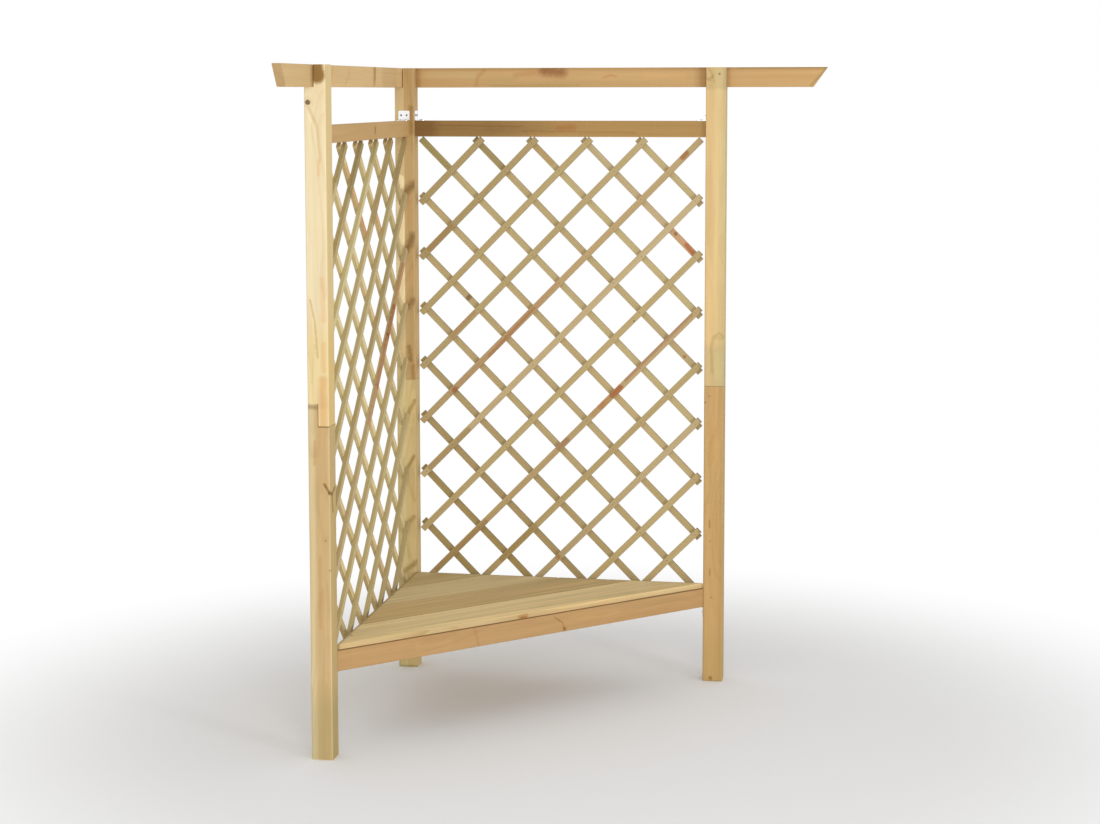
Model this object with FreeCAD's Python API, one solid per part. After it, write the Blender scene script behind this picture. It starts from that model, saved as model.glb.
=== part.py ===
import FreeCAD, Part
import math
import os

# Corner arbour seat of planed softwood: three lapped posts, two top rails, two trellis
# panels under their own rails, and a three-cornered seat on an apron and bearers.
# All sizes are in millimetres. While it is built, the outer corner of the corner post
# stands at x = 0, y = 0, the right wall runs along +X, the left wall along -Y, and Z is up.

Vector = FreeCAD.Vector

# Overall
overall_height = 2150.0
wall_length = 1168.0  # over the outer sides of the corner post and an end post

# Posts
post_side = 68.0
post_edge_radius = 4.0
lap_shoulder_height = 1047.0
lap_length = 70.0
lap_seam = 1.0  # open seam under the tongue of the upper length

# Top rails, flush with the post tops and with the outer sides of the posts
top_rail_height = 68.0
top_rail_thickness = 28.0
top_rail_overhang = 316.0  # of the left rail; the right one starts further along
top_rail_end_slant = 49.0
top_rail_notch_play = 3.0
rail_edge_radius = 3.0

# Trellis rails, centred in the posts
rail_spacing = 116.0  # open space between a top rail and the trellis rail below it
trellis_rail_height = 56.0
trellis_rail_thickness = 34.0

# Trellis panels, centred under their rails
lath_width = 22.0
lath_thickness = 13.0
lath_end_overhang = 22.0  # beyond the last crossing, along the lath
trellis_columns = 5
trellis_rows = 8
trellis_side_gap = 10.0  # from a post to the nearest lath tips
trellis_tail_depth = 33.0  # from the top of the wall bearers down to the lowest tips

# Seat
seat_height = 350.0
seat_board_width = 180.0
seat_board_thickness = 18.0
seat_board_gap = 3.0
seat_board_edge_radius = 2.5
seat_board_least_depth = 20.0  # a smaller corner than this is left open
apron_height = 68.0
apron_thickness = 24.0
bearer_height = 68.0
bearer_thickness = 45.0
middle_bearer_thickness = 34.0

# Angle brackets of bent sheet steel
bracket_width = 40.0
bracket_leg = 35.0
bracket_thickness = 2.0
bracket_inner_bend_radius = 1.0
bracket_corner_radius = 4.0
bracket_hole_radius = 2.5
bracket_hole_spacing = 20.0
bracket_hole_height = 19.0  # from the bend to the holes
bearer_bracket_inset = 6.0  # from the inner side of the corner post
apron_bracket_inset = 1.0  # from the inner side of an end post

# Round-head screws of the brackets
bracket_screw_head_radius = 4.0
bracket_screw_crown_radius = 2.4
bracket_screw_head_height = 2.4
bracket_screw_radius = 1.8
bracket_screw_length = 16.0

# Countersunk screws through the laps, the top rails and the boards
wood_screw_head_radius = 4.5
wood_screw_head_depth = 3.0
wood_screw_radius = 2.2
wood_screw_length = 52.0
lap_screw_inset = 20.0
rail_screw_spacing = 26.0
corner_screw_stagger = 13.0
corner_screw_inset = 13.0
seat_screw_inset = 12.0
seat_screw_edge_share = 0.25
seat_screw_length = 45.0
screw_play = 0.1  # between a screw and its hole in the timber

# Limits for telling edges apart
tiny = 0.01
parallel_share = 0.999  # of a unit direction that lies along an axis

# Places that follow from the sizes above
top_rail_length = wall_length + top_rail_overhang
far_side = wall_length - post_side
post_middle = post_side / 2.0
lap_top = lap_shoulder_height + lap_length
notch_bottom = overall_height - top_rail_height
notch_depth = top_rail_thickness + top_rail_notch_play
trellis_rail_top = notch_bottom - rail_spacing
trellis_rail_bottom = trellis_rail_top - trellis_rail_height
trellis_inner_face = post_middle + lath_thickness
trellis_top = trellis_rail_bottom  # the upper lath tips meet the rail
board_underside = seat_height - seat_board_thickness
trellis_bottom = board_underside - trellis_tail_depth
apron_bottom = board_underside - apron_height
bearer_bottom = board_underside - bearer_height
bearer_inner_face = trellis_inner_face + bearer_thickness
diagonal = math.sqrt(2.0)
front_line = wall_length  # x - y along the front of the seat
apron_back_line = front_line - apron_thickness * diagonal


def box(x0, x1, y0, y1, z0, z1):
    """Block between the given limits."""
    return Part.makeBox(x1 - x0, y1 - y0, z1 - z0, Vector(x0, y0, z0))


def plate(points, z0, z1):
    """Upright prism over a plan outline given as (x, y) corners."""
    corners = [Vector(x, y, z0) for x, y in points]
    outline = Part.makePolygon(corners + corners[:1])
    return Part.Face(outline).extrude(Vector(0, 0, z1 - z0))


def eased(shape, radius, wanted):
    """Round the straight edges whose two ends satisfy the test."""
    edges = []
    for edge in shape.Edges:
        start = edge.Vertexes[0].Point
        end = edge.Vertexes[-1].Point
        if wanted(start, end):
            edges.append(edge)
    return shape.makeFillet(radius, edges)


def runs_along(axis):
    """Test for edges that run along one of the axes."""

    def test(start, end):
        return abs((end - start).normalize().dot(axis)) > parallel_share

    return test


def mirrored_to_left(shape):
    """Swap the right wall for the left wall, across the plane of the diagonal."""
    return shape.mirror(Vector(0, 0, 0), Vector(1, 1, 0))


def turned_to_left(shape):
    """Turn a piece of the right wall a quarter turn on to the left wall."""
    turned = shape.copy()
    turned.rotate(Vector(0, 0, 0), Vector(0, 0, 1), 90)
    turned.translate(Vector(0, -wall_length, 0))
    return turned


def without(shape, cutters):
    """Cut every given solid out of a piece."""
    for cutter in cutters:
        if shape.BoundBox.intersect(cutter.BoundBox):
            shape = shape.cut(cutter)
    return shape


# Posts


def post_stock(x0, y0):
    """Square post with eased long edges, full height."""
    blank = box(x0, x0 + post_side, y0, y0 + post_side, 0, overall_height)
    return eased(blank, post_edge_radius, runs_along(Vector(0, 0, 1)))


def post_lengths(x0, y0, tongue_side, notch_sides):
    """Lower and upper length of one post.

    tongue_side is the side, +X or -Y, on which the upper length reaches down
    over the lower one. notch_sides are the outer sides that take a top rail.
    """
    stock = post_stock(x0, y0)
    x1 = x0 + post_side
    y1 = y0 + post_side
    if tongue_side == "+X":
        tongue_limits = (x0 + post_middle, x1, y0, y1)
        back_limits = (x0, x0 + post_middle, y0, y1)
    else:
        tongue_limits = (x0, x1, y0, y0 + post_middle)
        back_limits = (x0, x1, y0 + post_middle, y1)
    below = box(x0, x1, y0, y1, 0, lap_shoulder_height)
    lower = stock.common(below).fuse(stock.common(box(*back_limits, lap_shoulder_height, lap_top)))
    above = box(x0, x1, y0, y1, lap_top, overall_height)
    tongue = stock.common(box(*tongue_limits, lap_shoulder_height + lap_seam, lap_top))
    upper = stock.common(above).fuse(tongue)
    if "-X" in notch_sides:
        upper = upper.cut(box(x0, x0 + notch_depth, y0, y1, notch_bottom, overall_height))
    if "+Y" in notch_sides:
        upper = upper.cut(box(x0, x1, y1 - notch_depth, y1, notch_bottom, overall_height))
    return lower.removeSplitter(), upper.removeSplitter()


# Rails


def top_rail(start):
    """Top rail along the right wall, from a start near the corner to its slanted end."""
    z0 = notch_bottom
    z1 = overall_height
    end = start + top_rail_length
    foot = end - top_rail_end_slant
    profile = [Vector(start, 0, z0), Vector(foot, 0, z0), Vector(end, 0, z1), Vector(start, 0, z1)]
    side = Part.Face(Part.makePolygon(profile + profile[:1]))
    blank = side.extrude(Vector(0, -top_rail_thickness, 0))
    return eased(blank, rail_edge_radius, runs_along(Vector(1, 0, 0)))


def right_trellis_rail():
    """Rail between the corner post and the right post, above the trellis."""
    y0 = -post_middle - trellis_rail_thickness / 2.0
    y1 = -post_middle + trellis_rail_thickness / 2.0
    blank = box(post_side, far_side, y0, y1, trellis_rail_bottom, trellis_rail_top)
    return eased(blank, rail_edge_radius, runs_along(Vector(1, 0, 0)))


# Trellis

settling_rounds = 20


def tip_reach(lean):
    """How far a lath's tip stands beside and above the crossing next to it."""
    beside = lath_end_overhang * math.cos(lean) + lath_width / 2.0 * math.sin(lean)
    above = lath_end_overhang * math.sin(lean) + lath_width / 2.0 * math.cos(lean)
    return beside, above


def crossing_pitches():
    """Pitches of the crossings across and down, with the tips on their limits.

    The tips' reach depends on the lean of the laths and so on the pitches,
    which settle in a few rounds.
    """
    lean = math.pi / 4.0
    for _ in range(settling_rounds):
        beside, above = tip_reach(lean)
        across = (far_side - post_side - 2.0 * (trellis_side_gap + beside)) / trellis_columns
        down = (trellis_top - trellis_bottom - 2.0 * above) / trellis_rows
        lean = math.atan2(down, across)
    return across, down


column_pitch, row_pitch = crossing_pitches()
lath_lean = math.atan2(row_pitch, column_pitch)
cell_diagonal = math.hypot(column_pitch, row_pitch)
first_column = post_side + trellis_side_gap + tip_reach(lath_lean)[0]
top_row_height = trellis_top - tip_reach(lath_lean)[1]


def lath(column, row, cells, front):
    """One lath that starts at a crossing and runs over a number of cells.

    Columns count from the corner end and rows from the top. A front lath rises
    away from its start, and a back lath falls.
    """
    length = cells * cell_diagonal + 2.0 * lath_end_overhang
    blank = Part.makeBox(
        length, lath_thickness, lath_width, Vector(-lath_end_overhang, 0, -lath_width / 2.0)
    )
    lean = math.degrees(lath_lean)
    blank.rotate(Vector(0, 0, 0), Vector(0, 1, 0), -lean if front else lean)
    y = -post_middle - lath_thickness if front else -post_middle
    blank.translate(Vector(first_column + column * column_pitch, y, top_row_height - row * row_pitch))
    return blank


def laths_by_cells(front):
    """All laths of one layer, grouped by the number of cells they run over."""
    groups = {}
    for line in range(1, trellis_columns + trellis_rows):
        first = max(0, line - trellis_rows)
        last = min(trellis_columns, line)
        cells = last - first
        if front:
            piece = lath(first, line - first, cells, True)
        else:
            piece = lath(first, trellis_rows - line + first, cells, False)
        groups.setdefault(cells, []).append(piece)
    return groups


# Seat


def depth_line(depth):
    """Value of x - y on a line at a depth behind the front edge of the seat."""
    return front_line - depth * diagonal


def diagonal_strip(near, far, inset):
    """Plan corners between two lines parallel to the front edge, up to the walls.

    near and far are values of x - y, and inset is the distance from the outer
    sides of the posts to the ends of the strip.
    """
    corner = 2.0 * inset
    if far <= corner:
        return [(inset, inset - near), (near - inset, -inset), (inset, -inset)]
    return [(inset, inset - near), (near - inset, -inset), (far - inset, -inset), (inset, inset - far)]


def seat_boards():
    """Boards from the front edge back to the corner, the last one cut to a triangle."""
    boards = []
    depth = 0.0
    while depth_line(depth + seat_board_least_depth) > 2.0 * post_side:
        near = depth_line(depth)
        far = depth_line(depth + seat_board_width)
        blank = plate(diagonal_strip(near, far, post_side), board_underside, seat_height)
        boards.append(eased(blank, seat_board_edge_radius, is_board_edge))
        depth += seat_board_width + seat_board_gap
    return boards


def is_board_edge(start, end):
    """Test for the long edges of a board, which run along the front of the seat."""
    direction = (end - start).normalize()
    return abs(direction.dot(Vector(1, 1, 0).normalize())) > parallel_share


def apron():
    """Board on edge under the front of the seat, mitred against the end posts.

    Its back corners are trimmed flush with the outer sides of the wall bearers.
    """
    corners = [
        (post_side, -far_side),
        (far_side, -post_side),
        (far_side, -trellis_inner_face),
        (apron_back_line - trellis_inner_face, -trellis_inner_face),
        (trellis_inner_face, trellis_inner_face - apron_back_line),
        (trellis_inner_face, -far_side),
    ]
    blank = plate(corners, apron_bottom, board_underside)
    return eased(blank, rail_edge_radius, is_board_edge)


def right_bearer():
    """Bearer along the right wall, from the corner post to the back of the apron."""
    corners = [
        (post_side, -trellis_inner_face),
        (apron_back_line - trellis_inner_face, -trellis_inner_face),
        (apron_back_line - bearer_inner_face, -bearer_inner_face),
        (bearer_inner_face, -bearer_inner_face),
        (post_side, -post_side),
    ]
    return plate(corners, bearer_bottom, board_underside)


def middle_bearer():
    """Bearer from the middle of the apron into the corner between the wall bearers."""
    side = middle_bearer_thickness / diagonal
    tip = bearer_inner_face
    front = apron_back_line / 2.0
    corners = [
        (tip, -tip),
        (tip, -tip - side),
        (front - side / 2.0, -front - side / 2.0),
        (front + side / 2.0, -front + side / 2.0),
        (tip + side, -tip),
    ]
    return plate(corners, bearer_bottom, board_underside)


# Angle brackets and their screws


def bend_arc(radius):
    """Quarter circle of the bracket's bend, inside or outside, from upright to level."""
    middle = bracket_inner_bend_radius + bracket_thickness
    side = middle - radius / diagonal
    start = Vector(middle - radius, 0, middle)
    return Part.Arc(start, Vector(side, 0, side), Vector(middle, 0, middle - radius)).toShape()


def bracket():
    """Angle bracket with its bend on the Y axis and its legs along +X and +Z."""
    outer = bend_arc(bracket_inner_bend_radius + bracket_thickness)
    inner = bend_arc(bracket_inner_bend_radius)
    points = [outer.Vertexes[1].Point, Vector(bracket_leg, 0, 0)]
    points += [Vector(bracket_leg, 0, bracket_thickness), inner.Vertexes[1].Point]
    level = Part.makePolygon(points)
    points = [inner.Vertexes[0].Point, Vector(bracket_thickness, 0, bracket_leg)]
    points += [Vector(0, 0, bracket_leg), outer.Vertexes[0].Point]
    upright = Part.makePolygon(points)
    edges = [outer] + level.Edges + [inner] + upright.Edges
    section = Part.Face(Part.Wire(Part.__sortEdges__(edges)))
    section.translate(Vector(0, -bracket_width / 2.0, 0))
    blank = section.extrude(Vector(0, bracket_width, 0))
    blank = eased(blank, bracket_corner_radius, is_leg_corner)
    depth = 3.0 * bracket_thickness
    for side in (-0.5, 0.5):
        y = side * bracket_hole_spacing
        upright_hole = Vector(-bracket_thickness, y, bracket_hole_height)
        level_hole = Vector(bracket_hole_height, y, -bracket_thickness)
        blank = blank.cut(Part.makeCylinder(bracket_hole_radius, depth, upright_hole, Vector(1, 0, 0)))
        blank = blank.cut(Part.makeCylinder(bracket_hole_radius, depth, level_hole, Vector(0, 0, 1)))
    return blank


def is_leg_corner(start, end):
    """Test for the short edges at the free corners of the bracket's legs."""
    short = (end - start).Length < bracket_thickness + tiny
    at_end = max(start.x, start.z) > bracket_leg - tiny
    return short and at_end


def turned_profile(points, base, direction):
    """Solid turned from (radius, height) points about an axis through the base."""
    corners = [Vector(radius, 0, height) for radius, height in points]
    face = Part.Face(Part.makePolygon(corners + corners[:1]))
    solid = face.revolve(Vector(0, 0, 0), Vector(0, 0, 1), 360)
    solid.Placement = FreeCAD.Placement(base, FreeCAD.Rotation(Vector(0, 0, 1), direction))
    return solid


def round_head_screw(base, direction):
    """Screw whose head sits at the base and whose shank runs along the direction."""
    head = [(0, -bracket_screw_head_height), (bracket_screw_crown_radius, -bracket_screw_head_height)]
    head += [(bracket_screw_head_radius, 0), (bracket_screw_radius, 0)]
    shank = [(bracket_screw_radius, bracket_screw_length), (0, bracket_screw_length)]
    return turned_profile(head + shank, base, direction)


def round_head_hole(base, direction):
    """Hole for the shank of a round-head screw."""
    radius = bracket_screw_radius + screw_play
    return Part.makeCylinder(radius, bracket_screw_length + screw_play, base, direction)


def countersunk(base, direction, length, play):
    """Countersunk screw flush with the surface at the base, or with play its hole."""
    head = wood_screw_head_radius + play
    shank = wood_screw_radius + play
    outline = [(0, 0), (head, 0), (shank, wood_screw_head_depth), (shank, length + play)]
    return turned_profile(outline + [(0, length + play)], base, direction)


class Joinery:
    """Brackets, screws and the holes that the screws need in the timber."""

    def __init__(self):
        self.brackets = {}
        self.bracket_screws = []
        self.lap_screws = []
        self.rail_screws = []
        self.seat_screws = []
        self.holes = []

    def add_bracket(self, name, bend, level, upright, towards=None, left=False):
        """Place a bracket with its bend at a point, with the screws that find timber.

        level and upright are the directions of the two legs. Where towards is given,
        only the hole on that side of the level leg has timber behind it.
        """
        turn = FreeCAD.Rotation(level, upright.cross(level), upright, "ZXY")
        shape = bracket()
        shape.Placement = FreeCAD.Placement(bend, turn)
        self.brackets[name] = mirrored_to_left(shape) if left else shape
        across = turn.multVec(Vector(0, bracket_hole_spacing / 2.0, 0))
        on_upright = bend + level * bracket_thickness + upright * bracket_hole_height
        on_level = bend + upright * bracket_thickness + level * bracket_hole_height
        for offset in (across, across * -1.0):
            self.add_bracket_screw(on_upright + offset, level * -1.0, left)
            if towards is None or offset.dot(towards) > 0:
                self.add_bracket_screw(on_level + offset, upright * -1.0, left)

    def add_bracket_screw(self, base, direction, left):
        """One round-head screw and its hole."""
        pieces = [round_head_screw(base, direction), round_head_hole(base, direction)]
        if left:
            pieces = [mirrored_to_left(piece) for piece in pieces]
        self.bracket_screws.append(pieces[0])
        self.holes.append(pieces[1])

    def add_screws(self, group, places, direction, length):
        """Countersunk screws at the given places, with their holes."""
        for place in places:
            group.append(countersunk(place, direction, length, 0.0))
            self.holes.append(countersunk(place, direction, length, screw_play))


def lap_screw_places(x0, low, high):
    """Two places across a post, one low and one high, as (x, z)."""
    return [(x0 + lap_screw_inset, low), (x0 + post_side - lap_screw_inset, high)]


def seat_screw_places(board_count):
    """Places of the seat screws over the right bearer, as (x, y)."""
    y = -post_side - seat_screw_inset
    seat_depth = (front_line - 2.0 * post_side) / diagonal
    places = []
    for index in range(board_count):
        front = index * (seat_board_width + seat_board_gap)
        depth = min(seat_board_width, seat_depth - front)
        for share in (seat_screw_edge_share, 1.0 - seat_screw_edge_share):
            x = depth_line(front + share * depth) + y
            if x > bearer_inner_face + bearer_thickness:
                places.append((x, y))
    return places


def add_wall_brackets(joinery, wall, left):
    """Brackets on the trellis rail and under the seat, along one wall."""
    along = Vector(1, 0, 0)
    up = Vector(0, 0, 1)
    inward = Vector(0, -1, 0)
    back = along * -1.0
    down = up * -1.0
    under_bearer = -post_side + bearer_bracket_inset + bracket_width / 2.0
    under_apron = -post_side + apron_bracket_inset + bracket_width / 2.0
    rail_start = Vector(post_side, -post_middle, trellis_rail_top)
    rail_end = Vector(far_side, -post_middle, trellis_rail_top)
    bearer_start = Vector(post_side, under_bearer, bearer_bottom)
    apron_end = Vector(far_side, under_apron, apron_bottom)
    joinery.add_bracket(wall + "_rail_corner_bracket", rail_start, along, up, left=left)
    joinery.add_bracket(wall + "_rail_end_bracket", rail_end, back, up, left=left)
    joinery.add_bracket(wall + "_bearer_bracket", bearer_start, along, down, inward, left)
    joinery.add_bracket(wall + "_apron_bracket", apron_end, back, down, inward, left)


def add_middle_bracket(joinery, wall, left):
    """Bracket between the apron and one side of the middle bearer."""
    to_corner = Vector(-1, 1, 0).normalize()
    to_wall = Vector(1, 1, 0).normalize()
    middle = apron_back_line / 2.0
    height = (bearer_bottom + board_underside) / 2.0
    bend = Vector(middle, -middle, height) + to_wall * (middle_bearer_thickness / 2.0)
    joinery.add_bracket(wall + "_middle_bracket", bend, to_corner, to_wall, left=left)


def make_joinery(board_count):
    """All brackets and screws of the arbour."""
    joinery = Joinery()
    for wall, left in (("right", False), ("left", True)):
        add_wall_brackets(joinery, wall, left)
        add_middle_bracket(joinery, wall, left)
    # Screws through the half laps, from the outer sides of the posts
    low = lap_shoulder_height + lap_screw_inset
    high = lap_top - lap_screw_inset
    right_laps = [Vector(x, 0, z) for x, z in lap_screw_places(far_side, low, high)]
    left_laps = [Vector(0, -x, z) for x, z in lap_screw_places(far_side, low, high)]
    corner_laps = [Vector(0, -x, z) for x, z in lap_screw_places(0, low, high)]
    joinery.add_screws(joinery.lap_screws, right_laps, Vector(0, -1, 0), wood_screw_length)
    joinery.add_screws(joinery.lap_screws, left_laps + corner_laps, Vector(1, 0, 0), wood_screw_length)
    # Screws through the top rails into the tongues of the posts
    rail_middle = (notch_bottom + overall_height) / 2.0
    low = rail_middle - rail_screw_spacing / 2.0
    high = rail_middle + rail_screw_spacing / 2.0
    end_rail = lap_screw_places(far_side, low, high)
    near = notch_depth + corner_screw_inset / 2.0
    corner_rail = [(near, low), (near + corner_screw_inset, high)]
    right_rail = [Vector(x, 0, z) for x, z in end_rail + corner_rail]
    left_rail = [Vector(0, -x, z) for x, z in end_rail]
    left_rail += [Vector(0, -x, z - corner_screw_stagger) for x, z in corner_rail]
    joinery.add_screws(joinery.rail_screws, right_rail, Vector(0, -1, 0), wood_screw_length)
    joinery.add_screws(joinery.rail_screws, left_rail, Vector(1, 0, 0), wood_screw_length)
    # Screws through the ends of the seat boards into the wall bearers
    right_seat = [Vector(x, y, seat_height) for x, y in seat_screw_places(board_count)]
    left_seat = [Vector(-place.y, -place.x, seat_height) for place in right_seat]
    joinery.add_screws(joinery.seat_screws, right_seat + left_seat, Vector(0, 0, -1), seat_screw_length)
    return joinery


# Assembly


def make_nodes():
    """Every piece of the arbour by name."""
    boards = seat_boards()
    joinery = make_joinery(len(boards))
    timber = {}
    timber["corner_post_lower"], timber["corner_post_upper"] = post_lengths(
        0, -post_side, "+X", ("-X", "+Y")
    )
    timber["right_post_lower"], timber["right_post_upper"] = post_lengths(
        far_side, -post_side, "-Y", ("+Y",)
    )
    timber["left_post_lower"], timber["left_post_upper"] = post_lengths(
        0, -wall_length, "+X", ("-X",)
    )
    # The left rail runs through to the corner and the right rail butts against it
    timber["right_top_rail"] = top_rail(top_rail_thickness)
    timber["left_top_rail"] = mirrored_to_left(top_rail(0.0))
    timber["right_trellis_rail"] = right_trellis_rail()
    timber["left_trellis_rail"] = mirrored_to_left(right_trellis_rail())
    for index, board in enumerate(boards):
        timber["seat_board_%d" % (index + 1)] = board
    timber["seat_apron"] = apron()
    timber["right_seat_bearer"] = right_bearer()
    timber["left_seat_bearer"] = mirrored_to_left(right_bearer())
    timber["middle_seat_bearer"] = middle_bearer()
    nodes = {name: without(shape, joinery.holes) for name, shape in timber.items()}
    for layer, front in (("front", True), ("back", False)):
        for cells, laths in laths_by_cells(front).items():
            name = "%s_laths_%d" % (layer, cells)
            nodes["right_" + name] = Part.makeCompound(laths)
            nodes["left_" + name] = Part.makeCompound([turned_to_left(piece) for piece in laths])
    nodes.update(joinery.brackets)
    nodes["bracket_screws"] = Part.makeCompound(joinery.bracket_screws)
    nodes["lap_screws"] = Part.makeCompound(joinery.lap_screws)
    nodes["top_rail_screws"] = Part.makeCompound(joinery.rail_screws)
    nodes["seat_screws"] = Part.makeCompound(joinery.seat_screws)
    return nodes


def main():
    """Write each piece in the part's own frame, with the middle of its plan at the origin."""
    os.makedirs("parts", exist_ok=True)
    right_reach = top_rail_thickness + top_rail_length
    to_middle = Vector(-right_reach / 2.0, top_rail_length / 2.0, 0)
    for name, shape in make_nodes().items():
        placed = shape.copy()
        placed.translate(to_middle)
        placed.exportStep("parts/%s.step" % name)
        print(name, len(placed.Solids), round(placed.Volume), placed.isValid())


main()
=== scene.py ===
import math
import random

import bmesh
import bpy
import numpy as np
from mathutils import Matrix, Vector


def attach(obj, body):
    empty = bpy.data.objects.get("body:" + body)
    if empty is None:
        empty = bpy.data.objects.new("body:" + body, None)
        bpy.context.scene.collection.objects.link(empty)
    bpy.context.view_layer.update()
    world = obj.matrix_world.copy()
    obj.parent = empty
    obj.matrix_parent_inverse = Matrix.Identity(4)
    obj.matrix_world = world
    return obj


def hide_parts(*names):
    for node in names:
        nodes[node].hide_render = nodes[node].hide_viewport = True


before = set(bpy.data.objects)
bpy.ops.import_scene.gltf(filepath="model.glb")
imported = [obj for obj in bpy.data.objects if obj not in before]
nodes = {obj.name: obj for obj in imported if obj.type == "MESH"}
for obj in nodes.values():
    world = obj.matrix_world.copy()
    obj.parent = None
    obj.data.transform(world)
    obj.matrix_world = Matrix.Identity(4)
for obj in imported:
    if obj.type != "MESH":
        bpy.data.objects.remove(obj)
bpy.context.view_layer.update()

MM = 0.001

# The photograph's camera, in the frame of the part
image_width = 1100
image_height = 824
focal_pixels = 2137.1
principal_row = 302.0
camera_place = Vector((1.12875, -6.67077, 2.06804))
camera_yaw = -0.17901
camera_pitch = -0.09823
camera_roll = -0.00113
camera_far_limit = 100.0

# Floor and sky
floor_reach = 30.0
floor_grey = 0.92
floor_pales_from = 1.1  # distance from the middle of the part
floor_white_at = 2.6
sky_strength = 0.68

# Directions of the part
upright = (0.0, 0.0, 1.0)
right_wall = (1.0, 0.0, 0.0)
left_wall = (0.0, 1.0, 0.0)
seat_front = (1.0, 1.0, 0.0)
to_corner = (-1.0, 1.0, 0.0)

# Laths of the trellis panels
lath_edge_radius = 1.0 * MM
lath_end_ease = 0.4 * MM
lath_segment = 60.0 * MM
lath_wander = 0.7 * MM
lath_brightness = (0.96, 1.04)

# Nails at the crossings of the laths
nail_head_radius = 1.6 * MM
nail_head_height = 0.5 * MM
nail_sunk_depth = 0.3 * MM
nail_wander = 3.0 * MM
nail_sides = 12
nail_profile = ((0.0, 1.0), (0.55, 0.92), (1.0, 0.62))  # shares of the height and of the radius

# Screws in millimetres, with profiles from the top of the head to the point: distance and radius
round_head = ((0.0, 2.4), (0.5, 3.3), (1.4, 3.85), (2.4, 4.0), (2.4, 1.8), (17.2, 1.8), (18.4, 0.6))
flat_head = ((0.0, 4.3), (0.2, 4.5), (3.0, 2.2), (8.0, 2.2))
head_sides = 24
recess_reach = 1.7  # half the length of the cross
recess_width = 0.75
recess_lip = 0.15
recess_depth = 1.3
recess_floor_share = 0.6

# Waves in a metre of each part of the timber's figure, along and across the grain
bend_waves = (1.3, 7.0)
knot_edge_waves = (60.0, 60.0)
ring_waves = (3.0, 55.0)
fibre_waves = (9.0, 620.0)
streak_waves = (1.6, 58.0)
cloud_waves = (1.1, 13.0)
stain_waves = (1.9, 17.0)

# Sizes of the figure in metres, and its strengths
trunk_wander = 0.045
ring_unrest = 0.55  # in widths of a ring
ring_swell = 1.6  # round a knot, in widths of a ring
knot_stretches = 2.6  # in a metre, each with one knot at most
knot_radii = (0.003, 0.009)  # the least and the most
knot_ragged = 0.002
late_wood_strength = 0.45  # of its ridges, in the bump
timber_gloss = 0.3
timber_bump = 0.35
timber_bump_depth = 0.4 * MM
metal_dimming = 0.94
metal_gloss_range = 0.08
metal_bump = 0.15
metal_bump_depth = 0.05 * MM

# How squarely a face looks along the grain, or out of a panel, where its tint starts and is full. On the
# narrow sides of laths that tint is darker saw-cut wood together with painted shade
end_grain = (0.45, 0.75)
narrow_side = (0.75, 0.35)

# Shares of the tone that parts of the figure and marks have, and the painted shade inside recesses
early_share = (1.05, 1.06, 1.08)
late_share = (0.80, 0.72, 0.60)
warm_share = (1.02, 0.89, 0.78)
green_share = (0.86, 0.93, 0.82)
end_share = (0.80, 0.76, 0.74)
knot_halo_share = (0.88, 0.80, 0.70)
knot_rim_share = (0.70, 0.62, 0.54)
recess_painted_shade = (0.10, 0.09, 0.08)
knot_brown = (104, 66, 38)  # a colour

# Painted shade along the edges of the seat boards, in millimetres
seam_width = 1.0
seam_reach = 20.0  # past the edge, so that the tint covers the side too


# Meshes


def loose_parts(node):
    """Corner points of each separate solid of a CAD node, as a list of arrays."""
    mesh = nodes[node].data
    points = np.array([tuple(vertex.co) for vertex in mesh.vertices])
    keys = {}
    merged = []
    for point in points:
        key = tuple(np.round(point / MM, 2))
        merged.append(keys.setdefault(key, len(keys)))
    places = np.array(list(keys)) * MM
    group = list(range(len(keys)))

    def root(index):
        while group[index] != index:
            group[index] = group[group[index]]
            index = group[index]
        return index

    for polygon in mesh.polygons:
        corners = [root(merged[vertex]) for vertex in polygon.vertices]
        for corner in corners[1:]:
            group[root(corner)] = root(corners[0])
    parts = {}
    for index in range(len(places)):
        parts.setdefault(root(index), []).append(places[index])
    return [np.array(part) for part in parts.values()]


def own_axes(points):
    """Middle, axes and full sizes of a straight solid, longest axis first."""
    centre = points.mean(0)
    is_box = len(points) == 8
    middle = centre if is_box else (points.max(0) + points.min(0)) / 2.0
    _, _, rows = np.linalg.svd(points - centre)
    reach = (points - middle) @ rows.T
    return middle, rows, reach.max(0) - reach.min(0)


def new_object(name, data):
    """Object in the scene, for a mesh, a lamp or a camera."""
    thing = bpy.data.objects.new(name, data)
    bpy.context.scene.collection.objects.link(thing)
    return thing


def new_piece(name, mesh, material):
    """Object for a mesh in the frame of the part, with its finish."""
    piece = new_object(name, mesh)
    mesh.materials.append(material)
    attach(piece, "root")
    return piece


def mesh_from(name, build, smooth=False):
    """Mesh made from a bmesh."""
    bmesh.ops.recalc_face_normals(build, faces=build.faces)
    mesh = bpy.data.meshes.new(name)
    build.to_mesh(mesh)
    build.free()
    for polygon in mesh.polygons:
        polygon.use_smooth = smooth
    return mesh


def join_rings(build, rings):
    """Bands of faces between rings that follow one another, with as many corners each."""
    for first, second in zip(rings, rings[1:]):
        for index in range(len(first)):
            after = (index + 1) % len(first)
            build.faces.new((first[index], first[after], second[after], second[index]))


# Nodes of the materials


def linear(colour):
    """Scene colour of an sRGB colour given in 0 to 255."""
    out = []
    for value in colour:
        share = value / 255.0
        out.append(share / 12.92 if share <= 0.04045 else ((share + 0.055) / 1.055) ** 2.4)
    return tuple(out) + (1.0,)


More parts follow.
